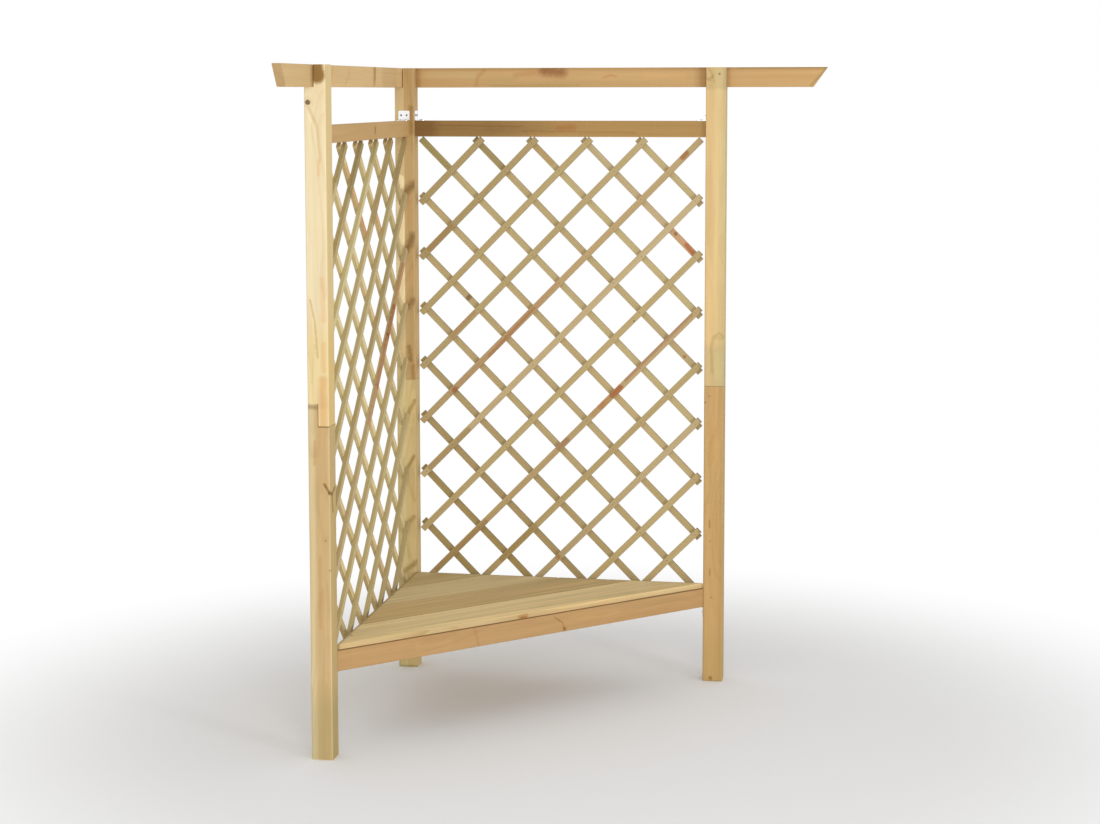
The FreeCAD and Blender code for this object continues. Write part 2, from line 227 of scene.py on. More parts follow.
class Tree:
    """Short calls that add nodes to one node tree."""

    def __init__(self, tree):
        self.tree = tree
        self.made = {}

    def add(self, kind, **settings):
        node = self.tree.nodes.new(kind)
        for name, value in settings.items():
            setattr(node, name, value)
        return node

    def join(self, source, socket):
        """Link a socket to another, or set it to a plain value."""
        if isinstance(source, bpy.types.NodeSocket):
            self.tree.links.new(source, socket)
        else:
            socket.default_value = source

    def fill(self, node, **sources):
        """Give inputs of a node their sources by name."""
        for name, source in sources.items():
            self.join(source, node.inputs[name])
        return node.outputs

    def place(self):
        """Places of the surface in the frame of the part."""
        if "place" not in self.made:
            self.made["place"] = self.add("ShaderNodeTexCoord").outputs["Object"]
        return self.made["place"]

    def unevenness(self):
        """Noise that makes the outlines of marks ragged."""
        if "unevenness" not in self.made:
            self.made["unevenness"] = self.noise(self.place(), 95.0, 3.0, 0.6)
        return self.made["unevenness"]

    def math(self, operation, first, second=0.0, third=0.0, clamp=False):
        node = self.add("ShaderNodeMath", operation=operation, use_clamp=clamp)
        for source, socket in zip((first, second, third), node.inputs):
            self.join(source, socket)
        return node.outputs[0]

    def vector(self, operation, first, second=(0.0, 0.0, 0.0)):
        node = self.add("ShaderNodeVectorMath", operation=operation)
        self.join(first, node.inputs[0])
        self.join(second, node.inputs[1])
        return node.outputs["Value" if operation in ("LENGTH", "DOT_PRODUCT") else "Vector"]

    def scaled(self, vector, share):
        return self.fill(self.add("ShaderNodeVectorMath", operation="SCALE"), Vector=vector, Scale=share)[0]

    def split(self, vector):
        return self.fill(self.add("ShaderNodeSeparateXYZ"), Vector=vector)

    def grouped(self, values):
        """Vector, or colour, of three values."""
        node = self.add("ShaderNodeCombineXYZ")
        for value, socket in zip(values, node.inputs):
            self.join(value, socket)
        return node.outputs[0]

    def noise(self, vector, scale, detail=2.0, roughness=0.5, coloured=False):
        node = self.add("ShaderNodeTexNoise")
        out = self.fill(node, Vector=vector, Scale=scale, Detail=detail, Roughness=roughness)
        return out["Color"] if coloured else out[0]

    def ramp(self, value, low, high, to_low=0.0, to_high=1.0, kind="SMOOTHSTEP"):
        node = self.add("ShaderNodeMapRange", interpolation_type=kind)
        for source, socket in zip((value, low, high, to_low, to_high), node.inputs):
            self.join(source, socket)
        return node.outputs[0]

    def line(self, value, low, high, to_low, to_high):
        return self.ramp(value, low, high, to_low, to_high, "LINEAR")

    def mix(self, factor, first, second, blend="MIX"):
        node = self.add("ShaderNodeMix", data_type="RGBA", blend_type=blend)
        for source, index in ((factor, 0), (first, 6), (second, 7)):
            self.join(source, node.inputs[index])
        return node.outputs[2]

    def attribute(self, name, output):
        return self.add("ShaderNodeAttribute", attribute_name=name).outputs[output]

    def bump(self, height, strength, depth, surface):
        out = self.fill(self.add("ShaderNodeBump"), Strength=strength, Distance=depth, Height=height)
        self.join(out[0], surface.inputs["Normal"])


def new_material(name):
    """Material with its node tree and its surface shader."""
    material = bpy.data.materials.new(name)
    material.use_nodes = True
    return material, Tree(material.node_tree), material.node_tree.nodes["Principled BSDF"]


def timber_group():
    """Node group for planed softwood, whose grain runs along X of the given vector.

    The growth rings are shells round the pith, so faces, edges and ends agree.
    """
    group = bpy.data.node_groups.new("planed_softwood", "ShaderNodeTree")
    sockets = (
        ("INPUT", "NodeSocketVector", "Vector Pith Seed"),
        ("INPUT", "NodeSocketColor", "Early Late Warm Green Knot"),
        ("INPUT", "NodeSocketFloat", "Ring Contrast Warmth Greenness Knots Streaks Swell"),
        ("OUTPUT", "NodeSocketColor", "Color"),
        ("OUTPUT", "NodeSocketFloat", "Roughness Height"),
    )
    for way, kind, names in sockets:
        for name in names.split():
            group.interface.new_socket(name, in_out=way, socket_type=kind)

    t = Tree(group)
    given = t.add("NodeGroupInput").outputs
    seeded = t.vector("ADD", given["Vector"], given["Seed"])

    def grained(waves, detail=2.0, roughness=0.5, source=seeded, coloured=False):
        """Noise with so many waves in a metre along and across the grain."""
        along, across = waves
        stretched = t.vector("MULTIPLY", source, (along, across, across))
        return t.noise(stretched, 1.0, detail, roughness, coloured)

    # Slow wander of the trunk, which bends the rings into arches on the faces
    wander = t.vector("SUBTRACT", grained(bend_waves, coloured=True), (0.5, 0.5, 0.5))
    wander = t.vector("MULTIPLY", wander, (0.0, trunk_wander, trunk_wander))
    bent = t.vector("ADD", given["Vector"], wander)

    # Distance from the pith
    across = t.vector("SUBTRACT", bent, given["Pith"])
    across = t.vector("MULTIPLY", across, (0.0, 1.0, 1.0))
    radius = t.vector("LENGTH", across)

    # Knots run outwards from the pith, one at most in each stretch of the trunk
    cells = t.add("ShaderNodeTexVoronoi", voronoi_dimensions="1D")
    cell = t.fill(cells, W=t.split(seeded)[0], Scale=knot_stretches)
    lottery = t.split(cell["Color"])
    beside = t.math("DIVIDE", cell["Distance"], knot_stretches)
    angle = t.math("MULTIPLY", lottery[0], 2.0 * math.pi)
    sine, cosine = t.math("SINE", angle), t.math("COSINE", angle)
    _, side, rise = t.split(across)
    off_line = t.math("SUBTRACT", t.math("MULTIPLY", side, sine), t.math("MULTIPLY", rise, cosine))
    outward = t.math("ADD", t.math("MULTIPLY", side, cosine), t.math("MULTIPLY", rise, sine))
    knot_distance = t.vector("LENGTH", t.grouped((beside, off_line, 0.0)))
    inside = t.math("SUBTRACT", knot_distance, knot_ragged)
    knot_distance = t.math("MULTIPLY_ADD", grained(knot_edge_waves), 2.0 * knot_ragged, inside)
    knot_radius = t.line(lottery[1], 0.0, 1.0, *knot_radii)
    chosen = t.math("LESS_THAN", lottery[2], given["Knots"])
    chosen = t.math("MULTIPLY", chosen, t.math("GREATER_THAN", outward, 0.0))
    relative = t.math("DIVIDE", knot_distance, knot_radius)
    knot = t.math("MULTIPLY", t.ramp(relative, 1.15, 0.85), chosen)
    halo = t.math("MULTIPLY", t.ramp(relative, 3.6, 0.6), chosen)
    knot_ring = t.ramp(t.math("FRACT", t.math("MULTIPLY", relative, 3.5)), 0.0, 1.0, 0.65, 1.1)

    # Rings: pale early wood that darkens towards a narrow line of late wood
    phase = t.math("DIVIDE", radius, given["Ring"])
    phase = t.math("MULTIPLY_ADD", grained(ring_waves), ring_unrest, phase)
    phase = t.math("MULTIPLY_ADD", t.math("ADD", halo, given["Swell"]), ring_swell, phase)
    within = t.math("FRACT", phase)
    late = t.math("MULTIPLY", t.ramp(within, 0.35, 0.93), t.ramp(within, 1.0, 0.94))
    year = t.fill(t.add("ShaderNodeTexWhiteNoise", noise_dimensions="1D"), W=t.math("FLOOR", phase))
    late = t.math("MULTIPLY", late, t.line(year["Value"], 0.0, 1.0, 0.35, 1.0))

    # Fibres, streaks, warm clouds and green stain, all drawn out along the grain
    fibres = grained(fibre_waves, 3.0, 0.65)
    streaks = grained(streak_waves, 3.0, 0.6)
    clouds = grained(cloud_waves)
    stain = grained(stain_waves, 3.0, source=t.vector("ADD", seeded, (31.0, 5.0, 9.0)))

    colour = t.mix(t.math("MULTIPLY", late, given["Contrast"]), given["Early"], given["Late"])
    warm = t.math("MULTIPLY", t.ramp(clouds, 0.48, 0.72), given["Warmth"])
    colour = t.mix(warm, colour, given["Warm"])
    green = t.math("MULTIPLY", t.ramp(stain, 0.50, 0.74), given["Greenness"])
    colour = t.mix(green, colour, given["Green"])
    shade = t.math("MULTIPLY_ADD", t.line(streaks, 0.25, 0.75, -1.0, 1.0), given["Streaks"], 1.0)
    shade = t.math("MULTIPLY", shade, t.line(fibres, 0.2, 0.8, 0.95, 1.05))
    colour = t.mix(1.0, colour, t.grouped([shade] * 3), "MULTIPLY")
    colour = t.mix(t.math("MULTIPLY", halo, 0.45), colour, given["Late"])
    colour = t.mix(knot, colour, t.mix(1.0, given["Knot"], t.grouped([knot_ring] * 3), "MULTIPLY"))

    roughness = t.math("MULTIPLY_ADD", late, -0.12, t.line(fibres, 0.2, 0.8, 0.66, 0.82))
    height = t.math("MULTIPLY_ADD", late, late_wood_strength, t.math("MULTIPLY", fibres, 0.8))
    height = t.math("MULTIPLY_ADD", knot, 0.5, height)

    t.fill(t.add("NodeGroupOutput"), Color=colour, Roughness=roughness, Height=height)
    return group


softwood = timber_group()


def shared(tone, share):
    """Scene colour of an sRGB tone times a share for each channel."""
    return tuple(value * part for value, part in zip(linear(tone), share)) + (1.0,)


def tinted(t, factor, colour, share):
    """Colour times a share for each channel, where the factor is one."""
    return t.mix(factor, colour, t.mix(1.0, colour, share + (1.0,), "MULTIPLY"))


# Marks. Their places, widths and levels are in millimetres in the frame of the part


def segment_distance(t, start, end):
    """Distance of the surface from a straight line between two places in metres."""
    line = end - start
    place = t.vector("SUBTRACT", t.place(), start)
    if line.length > 0.0:
        share = t.math("DIVIDE", t.vector("DOT_PRODUCT", place, line), line.length_squared, clamp=True)
        place = t.vector("SUBTRACT", place, t.scaled(line, share))
    return t.vector("LENGTH", place)


def run_distance(t, places, ragged):
    """Distance of the surface from a run of places, a little ragged, in metres."""
    run = [Vector([value * MM for value in place]) for place in places]
    distance = segment_distance(t, run[0], run[min(1, len(run) - 1)])
    for start, end in zip(run[1:], run[2:]):
        distance = t.math("MINIMUM", distance, segment_distance(t, start, end))
    inside = t.math("SUBTRACT", distance, ragged * MM)
    return t.math("MULTIPLY_ADD", t.unevenness(), 2.0 * ragged * MM, inside)


def streak(places, width, share, strength=1.0, soft=0.9, ragged=3.0):
    """Mark along a run of places, or round a single one, with its half width."""
    def paint(t, colour):
        distance = run_distance(t, places, ragged)
        reach = t.ramp(distance, width * MM, width * MM * (1.0 - soft))
        return tinted(t, t.math("MULTIPLY", reach, strength), colour, share)
    return paint


def marks_on(face, *rows):
    """Streaks on a face. A row gives places without the axis across the face, and the rest of a streak."""
    axis, level = face
    marks = []
    for pairs, *settings in rows:
        places = [pair[:axis] + (level,) + pair[axis:] for pair in pairs]
        marks.append(streak(places, *settings))
    return tuple(marks)


def band(direction, low, high, share, soft=4.0):
    """Tint between two levels along a direction, which fades over a width at each."""
    def paint(t, colour):
        along = t.vector("DOT_PRODUCT", t.place(), direction)
        entry = t.ramp(along, (low - soft) * MM, (low + soft) * MM)
        leave = t.ramp(along, (high + soft) * MM, (high - soft) * MM)
        return tinted(t, t.math("MULTIPLY", entry, leave), colour, share)
    return paint


def knot_marks(t, wood, colour, placed_knots):
    """Knots at given places, with the rings of the wood bent round them."""
    swell = None
    for places, radius, tone in placed_knots:
        distance = run_distance(t, places, 0.15 * radius)
        relative = t.math("DIVIDE", distance, radius * MM)
        halo = t.ramp(relative, 3.4, 0.6)
        swell = halo if swell is None else t.math("MAXIMUM", swell, halo)
        rim = t.math("MULTIPLY", t.ramp(relative, 1.35, 1.0), t.ramp(relative, 0.65, 0.95))
        colour = tinted(t, t.math("MULTIPLY", halo, 0.5), colour, knot_halo_share)
        colour = t.mix(t.ramp(relative, 1.15, 0.8), colour, linear(tone))
        colour = tinted(t, rim, colour, knot_rim_share)
    if swell is not None:
        t.join(swell, wood.inputs["Swell"])
    return colour


# Timber and metal


def grain_vector(t, direction):
    """Places of the surface, turned so that X runs along a direction of the part."""
    along = Vector(direction).normalized()
    up = Vector(right_wall if abs(along.z) > 0.9 else upright)
    side = up.cross(along).normalized()
    rise = along.cross(side)
    return t.grouped([t.vector("DOT_PRODUCT", t.place(), axis) for axis in (along, side, rise)])


def facing(t, direction):
    """How squarely a face looks along a direction, from nought to one."""
    normal = t.add("ShaderNodeNewGeometry").outputs["True Normal"]
    return t.math("ABSOLUTE", t.vector("DOT_PRODUCT", normal, Vector(direction).normalized()))


def timber(name, tone, direction=None, pith=(50, 30), ring=3.4, contrast=0.45, warmth=0.4,
           greenness=0.3, knots=0.0, streaks=0.07, placed_knots=(), marks=(), sawn_tint_and_shade=None):
    """Planed softwood of a tone, with its grain along a direction, or as its mesh says.

    The pith is given in millimetres across the grain. The last argument holds the direction that the
    broad sides of a lath face, and the share of the tone of its narrow, saw-cut sides: darker wood together
    with painted shade.
    """
    material, t, surface = new_material(name)
    wood = t.add("ShaderNodeGroup", node_tree=softwood)
    given = t.attribute("grain", "Vector") if direction is None else grain_vector(t, direction)
    chance = random.Random(name)
    seed = (chance.uniform(0.0, 60.0), chance.uniform(0.0, 3.0), chance.uniform(0.0, 3.0))
    t.fill(wood, Vector=given, Seed=seed, Pith=(0.0, pith[0] * MM, pith[1] * MM), Ring=ring * MM)
    t.fill(wood, Contrast=contrast, Warmth=warmth, Greenness=greenness, Knots=knots, Streaks=streaks)
    t.fill(wood, Early=shared(tone, early_share), Late=shared(tone, late_share), Knot=linear(knot_brown))
    t.fill(wood, Warm=shared(tone, warm_share), Green=shared(tone, green_share))
    colour = wood.outputs["Color"]
    if direction is None:
        colour = t.mix(1.0, colour, t.attribute("tint", "Vector"), "MULTIPLY")
        end = t.attribute("tip", "Fac")
    else:
        end = t.ramp(facing(t, direction), *end_grain)
    for mark in marks:
        colour = mark(t, colour)
    colour = knot_marks(t, wood, colour, placed_knots)
    # Narrow sides of laths: darker saw-cut wood together with painted shade
    if sawn_tint_and_shade is not None:
        broad, share = sawn_tint_and_shade
        colour = tinted(t, t.ramp(facing(t, broad), *narrow_side), colour, share)
    t.join(tinted(t, end, colour, end_share), surface.inputs["Base Color"])
    t.join(timber_gloss, surface.inputs["Specular IOR Level"])
    t.fill(surface, Roughness=wood.outputs["Roughness"])
    t.bump(wood.outputs["Height"], timber_bump, timber_bump_depth, surface)
    return material


def metal(name, tone, roughness, grain=220.0, recess=False):
    """Plated steel with a fine uneven sheen, with painted shade inside the recesses that the mesh names."""
    material, t, surface = new_material(name)
    cloud = t.noise(t.place(), grain, 3.0, 0.6)
    spangle = t.noise(t.place(), grain * 4.0, 1.0)
    dimmer = linear([value * metal_dimming for value in tone])
    colour = t.mix(t.ramp(cloud, 0.3, 0.7), linear(tone), dimmer)
    # Painted shade inside the recesses
    if recess:
        colour = tinted(t, t.attribute("recess", "Fac"), colour, recess_painted_shade)
    t.join(colour, surface.inputs["Base Color"])
    gloss = t.ramp(spangle, 0.3, 0.7, roughness - metal_gloss_range, roughness + metal_gloss_range)
    t.fill(surface, Roughness=gloss, Metallic=1.0)
    t.bump(cloud, metal_bump, metal_bump_depth, surface)
    return material


# Laths


def lath_mesh(build, layers, points, tint, chance):
    """Add one lath with softened edges, which wanders a little along its length."""
    middle, rows, (length, width, thickness) = own_axes(points)
    along, wide, thick = [Vector(row) for row in rows]
    grain, own_tint, tip = layers
    steps = max(2, round(length / lath_segment))
    phase = chance.uniform(0.0, 2.0 * math.pi)
    waves = chance.uniform(0.6, 1.4)
    sway = chance.uniform(0.3, 1.0) * lath_wander
    offset = Vector((chance.uniform(0.0, 80.0), chance.uniform(0.0, 2.0), chance.uniform(0.0, 2.0)))
    r = lath_edge_radius
    outline = []
    for index in range(4):
        corner = index * math.pi / 2.0
        for turn in (0.0, math.pi / 4.0, math.pi / 2.0):
            angle = corner + turn
            centre_u = math.copysign(width / 2.0 - r, math.cos(corner + math.pi / 4.0))
            centre_v = math.copysign(thickness / 2.0 - r, math.sin(corner + math.pi / 4.0))
            outline.append((centre_u + r * math.cos(angle), centre_v + r * math.sin(angle)))

    def ring_at(distance, inset, at_end):
        shift = sway * math.sin(phase + waves * 2.0 * math.pi * distance / length)
        ring = []
        for u, v in outline:
            u *= 1.0 - inset / (width / 2.0)
            v *= 1.0 - inset / (thickness / 2.0)
            place = Vector(middle) + along * (distance - length / 2.0) + wide * (u + shift) + thick * v
            vertex = build.verts.new(place)
            vertex[grain] = Vector((distance, u, v)) + offset
            vertex[own_tint] = tint
            vertex[tip] = at_end
            ring.append(vertex)
        return ring

    ease = lath_end_ease
    rings = [ring_at(0.0, ease, 1.0)]
    rings += [ring_at(ease + (length - 2.0 * ease) * step / steps, 0.0, 0.0) for step in range(steps + 1)]
    rings.append(ring_at(length, ease, 1.0))
    join_rings(build, rings)
    build.faces.new(list(reversed(rings[0])))
    build.faces.new(rings[-1])


def lath_lines(wall, layer):
    """Laths of one layer of a panel as point arrays, from the top of the far side downwards."""
    names = sorted(name for name in nodes if name.startswith("%s_%s_laths" % (wall, layer)))
    parts = [points for name in names for points in loose_parts(name)]

    def order(points):
        middle, rows, _ = own_axes(points)
        across = Vector(rows[1])
        if across.z < 0.0:
            across.negate()
        return -across.dot(Vector(middle))

    return names, sorted(parts, key=order)


# Tints of single laths, against the tone of their layer
lath_tints = {
    "d": (0.80, 0.77, 0.63),  # dark
    "o": (0.85, 0.82, 0.78),  # olive
    "b": (0.94, 0.93, 0.90),  # brown
    "r": (0.97, 0.92, 0.95),  # ruddy
    "m": (1.00, 1.00, 1.00),  # plain
    "s": (1.06, 1.10, 1.10),  # straw
    "w": (1.06, 1.06, 1.20),  # pinkish white
}


def make_laths(wall, layer, material, kinds):
    """Replace the CAD laths of one layer of a panel by softened ones, each with its own tint."""
    chance = random.Random(wall + layer)
    build = bmesh.new()
    vertex_layers = build.verts.layers
    layers = (
        vertex_layers.float_vector.new("grain"),
        vertex_layers.float_vector.new("tint"),
        vertex_layers.float.new("tip"),
    )
    names, lines = lath_lines(wall, layer)
    for points, kind in zip(lines, kinds):
        brightness = chance.uniform(*lath_brightness)
        tint = [value * brightness for value in lath_tints[kind]]
        lath_mesh(build, layers, points, tint, chance)
    mesh = mesh_from("%s_%s_laths" % (wall, layer), build)
    piece = new_piece("%s_%s_trellis_laths" % (wall, layer), mesh, material)
    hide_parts(*names)


def crossings(wall):
    """Middles of a panel's crossings on its inner face, and the way that face looks."""
    out = []
    normal = Vector((0.0, -1.0, 0.0)) if wall == "right" else Vector(right_wall)
    for front in lath_lines(wall, "front")[1]:
        middle, rows, sizes = own_axes(front)
        start, along = Vector(middle), Vector(rows[0])
        across = along.cross(normal)
        for back in lath_lines(wall, "back")[1]:
            far_middle, far_rows, far_sizes = own_axes(back)
            other = Vector(far_rows[0])
            share = (Vector(far_middle) - start).dot(across) / other.dot(across)
            place = Vector(far_middle) - other * share
            distance = (place - start).dot(along)
            if abs(share) < far_sizes[0] / 2.0 and abs(distance) < sizes[0] / 2.0:
                out.append(start + along * distance + normal * (sizes[2] / 2.0))
    return out, normal


def make_nails(wall, material):
    """Small nail heads, a little off the middle of each crossing."""
    chance = random.Random(wall + "nails")
    build = bmesh.new()
    places, normal = crossings(wall)
    up = Vector(upright)
    side = up.cross(normal)
    for place in places:
        centre = place + side * chance.uniform(-nail_wander, nail_wander)
        centre += up * chance.uniform(-nail_wander, nail_wander)
        rings = []
        for rise, reach in nail_profile:
            height = rise * nail_head_height - (nail_sunk_depth if rise == 0.0 else 0.0)
            ring = []
            for index in range(nail_sides):
                angle = 2.0 * math.pi * index / nail_sides
                turn = side * math.cos(angle) + up * math.sin(angle)
                ring.append(build.verts.new(centre + normal * height + turn * reach * nail_head_radius))
            rings.append(ring)
        join_rings(build, rings)
        build.faces.new(rings[-1])
        build.faces.new(list(reversed(rings[0])))
    mesh = mesh_from("%s_nails" % wall, build, smooth=True)
    new_piece("%s_trellis_nails" % wall, mesh, material)


# Screws


def cross_recess():
    """Outline of the cross in a screw head."""
    a, b = recess_width / 2.0, recess_reach
    outline = []
    for turn in range(4):
        for x, y in ((b, -a), (b, a), (a, a)):
            for _ in range(turn):
                x, y = -y, x
            outline.append((x, y))
    return outline


def screw_mesh(build, recess, points, profile):
    """Add a screw with a cross recess, where a plain CAD screw stands."""
    along = Vector(own_axes(points)[1][0])
    axis = np.array(along)
    centre = points.mean(0)
    reach = (points - centre) @ axis
    spread = np.linalg.norm(points - centre - np.outer(reach, axis), axis=1)
    if reach[spread.argmax()] > 0.0:
        along.negate()
        reach = -reach
    head = Vector(centre) + along * float(reach.min())
    side = Vector(upright if abs(along.z) < 0.5 else right_wall)
    side = (side - along * side.dot(along)).normalized()
    other = along.cross(side)
    chance = random.Random(round(head.x / MM) * 7919 + round(head.y / MM) * 31 + round(head.z / MM))
    turn = chance.uniform(0.0, math.pi / 2.0)

    def vertex(depth, x, y):
        x, y = x * math.cos(turn) - y * math.sin(turn), x * math.sin(turn) + y * math.cos(turn)
        return build.verts.new(head + (along * depth + side * x + other * y) * MM)

    angles = [2.0 * math.pi * index / head_sides for index in range(head_sides)]
    rings = []
    for depth, radius in profile:
        rings.append([vertex(depth, radius * math.cos(angle), radius * math.sin(angle)) for angle in angles])
    join_rings(build, rings)
    build.faces.new(rings[-1])
    cross = [vertex(0.0, x, y) for x, y in cross_recess()]
    lip = [vertex(recess_lip, x, y) for x, y in cross_recess()]
    share = recess_floor_share
    floor = [vertex(recess_depth, x * share, y * share) for x, y in cross_recess()]
    for corner in lip + floor:
        corner[recess] = 1.0
    join_rings(build, (cross, lip, floor))
    build.faces.new(floor)
    edges = []
    for loop in (rings[0], cross):
        for first, second in zip(loop, loop[1:] + loop[:1]):
            edges.append(build.edges.get((first, second)))
    bmesh.ops.triangle_fill(build, edges=edges, use_beauty=True)


def make_screws(node, profile, material):
    """Replace the CAD screws of a node by ones with cross recesses."""
    build = bmesh.new()
    recess = build.verts.layers.float.new("recess")
    for points in loose_parts(node):
        screw_mesh(build, recess, points, profile)
    mesh = mesh_from(node + "_mesh", build)
    piece = new_piece(node + "_with_recess", mesh, material)
    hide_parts(node)


# Bracket screw heads darker than their plates: painted shade
bracket_screw_painted_shade = metal("bracket_screw_painted_shade", (156, 156, 162), 0.34, 500.0, recess=True)
make_screws("bracket_screws", round_head, bracket_screw_painted_shade)
screw_steel = metal("screw_steel", (206, 200, 184), 0.36, 500.0, recess=True)
for node_name in ("lap_screws", "top_rail_screws", "seat_screws"):
    make_screws(node_name, flat_head, screw_steel)


# Marks of the timber, with painted light and shade among them

# Shares that marks leave of the tone under them
red = (0.80, 0.38, 0.26)
rust = (0.80, 0.50, 0.38)
rose = (0.82, 0.62, 0.66)
dark = (0.50, 0.43, 0.37)
moss = (0.72, 0.72, 0.58)
# Painted shadow that the ends of the left laths cast on the corner post
painted_cast_shadow = (0.52, 0.46, 0.36)
fleck = (0.62, 0.52, 0.40)
# Painted shade in the seams of the seat boards and the apron
seam_shade = (0.50, 0.45, 0.38)
faint_seam_shade = (0.78, 0.74, 0.68)

# Faces that carry marks: the axis across them, and their level in millimetres
right_front_laths = (1, 695)
right_back_laths = (1, 708)
left_front_laths = (0, -709)
left_back_laths = (0, -722)
left_post_front = (1, -426)
corner_post_front = (1, 674)
right_post_front = (1, 674)
left_rail_side = (0, -728)
right_rail_front = (1, 714)
right_trellis_rail_front = (1, 691)
seat_top = (2, 350)

right_front_marks = marks_on(
    right_front_laths,
    ([(-180, 1400), (-430, 1130), (-560, 998)], 16, (0.96, 0.82, 0.82), 0.7, 0.6, 4),
    ([(-261, 1308), (-424, 1134)], 9, rust, 0.6, 0.8, 4),
    ([(-548, 1010)], 17, rust, 1, 0.6, 4),
    ([(65, 1061), (295, 1295)], 10, rose, 0.8, 0.7),
    ([(-14, 972), (-50, 935)], 14, (0.98, 0.84, 0.80), 0.9, 0.6, 4),
    ([(46, 1032), (18, 1004)], 14, red, 0.9, 0.5),
    ([(2, 988), (-22, 964)], 15, (0.98, 0.74, 0.64), 1, 0.6),
    ([(-143, 841), (-173, 811)], 14, rose, 0.9, 0.6, 4),
    ([(262, 1840), (276, 1856)], 12, rust, 1, 0.6, 4),
    ([(-640, 1512), (-560, 1594)], 14, (0.92, 0.80, 0.74), 1, 0.6, 4),
    ([(-480, 1290), (-560, 1200)], 14, (0.92, 0.80, 0.74), 1, 0.6, 4),
    ([(-640, 728), (-500, 868)], 14, (0.76, 0.70, 0.58), 0.9, 0.6, 4),
    ([(-620, 360), (-440, 536)], 14, (0.76, 0.70, 0.58), 0.9, 0.6, 4),
    ([(-380, 405), (-260, 525)], 14, (0.80, 0.74, 0.62), 0.9, 0.6, 4),
    ([(-176, 420)], 15, rust, 0.7, 0.7, 4),
    ([(94, 1268)], 5, dark, 1, 0.5, 2),
)
right_back_marks = marks_on(
    right_back_laths,
    ([(222, 1590), (300, 1508)], 16, (1.04, 0.82, 0.76), 1, 0.5, 4),
    ([(238, 1574)], 9, dark, 1, 0.7),
    ([(276, 1536), (296, 1512)], 11, rust, 1, 0.6, 4),
    ([(-484, 1356), (-502, 1338)], 12, dark, 1, 0.6, 2),
    ([(271, 1145)], 8, red, 0.9, 0.7),
    ([(130, 760)], 6, dark, 1, 0.7, 2),
    ([(-668, 1900), (-580, 1812)], 15, moss, 1, 0.5, 4),
    ([(-470, 1896), (-360, 1786)], 15, moss, 0.9, 0.5, 4),
    ([(-260, 1880), (-200, 1820)], 15, (0.88, 0.76, 0.66), 0.9, 0.6, 4),
)
left_front_marks = marks_on(
    left_front_laths,
    ([(600, 1460), (470, 1325)], 15, (0.92, 0.68, 0.58), 1, 0.5, 4),
    ([(470, 1325), (380, 1235)], 15, (0.70, 0.40, 0.30), 1, 0.5, 4),
    ([(380, 1235), (230, 1080)], 15, (0.80, 0.50, 0.40), 1, 0.5, 4),
    ([(230, 1080), (120, 968)], 15, (0.90, 0.66, 0.56), 1, 0.5, 4),
    ([(-120, 1898), (-230, 1786)], 20, (0.68, 0.64, 0.51), 1, 0.7, 4),
    ([(74, 1898), (-80, 1744)], 20, (0.60, 0.60, 0.48), 1, 0.8, 4),
    ([(-80, 1744), (-330, 1490)], 16, (0.86, 0.86, 0.80), 0.9, 0.5, 4),
    ([(260, 1898), (200, 1836)], 18, (0.70, 0.68, 0.56), 1, 0.8, 4),
    ([(460, 1898), (200, 1636)], 20, (0.64, 0.56, 0.42), 1, 0.8, 4),
    ([(650, 1896), (500, 1746)], 20, (0.66, 0.58, 0.44), 1, 0.8, 4),
)
left_back_marks = marks_on(
    left_back_laths,
    ([(-78, 1833), (-40, 1794)], 15, (1.00, 0.76, 0.62), 1, 0.6, 4),
    ([(0, 1753), (50, 1703)], 15, (0.98, 0.74, 0.62), 1, 0.6, 4),
    ([(95, 1657), (150, 1602)], 15, (0.94, 0.58, 0.48), 1, 0.6, 4),
    ([(282, 1663), (345, 1600)], 15, (0.98, 0.76, 0.66), 1, 0.6, 4),
)
left_upper_marks = (
    # Painted shade on the post's side face
    band(right_wall, -689.2, -600, (0.86, 0.79, 0.62), 0.6),
    band(upright, 900, 1360, (0.97, 0.92, 0.78), 60),
) + marks_on(
    left_post_front,
    # Painted shadow of the top rail on the tongue
    ([(-718, 2150), (-713, 2116)], 30, (0.36, 0.25, 0.11), 1, 0.5, 6),
    ([(-741, 2020), (-716, 1965), (-708, 1860)], 8, (0.84, 0.78, 0.66), 0.8),
    ([(-742, 2000), (-722, 1950), (-716, 1870)], 6, (1.08, 1.10, 1.14), 0.8),
    ([(-712, 1855), (-712, 1818)], 9, (0.98, 0.84, 0.74)),
    ([(-706, 1500), (-702, 1375)], 14, (0.98, 0.86, 0.76)),
    ([(-744, 1436), (-730, 1370), (-722, 1260)], 5, (0.80, 0.72, 0.58), 0.9),
    ([(-732, 1300), (-742, 1180)], 6, (0.92, 0.94, 0.84)),
    ([(-703, 1300), (-703, 1220)], 14, (0.96, 0.84, 0.72), 0.9),
    ([(-706, 1190), (-706, 1050)], 22, (0.90, 0.74, 0.62), 1, 0.8),
)
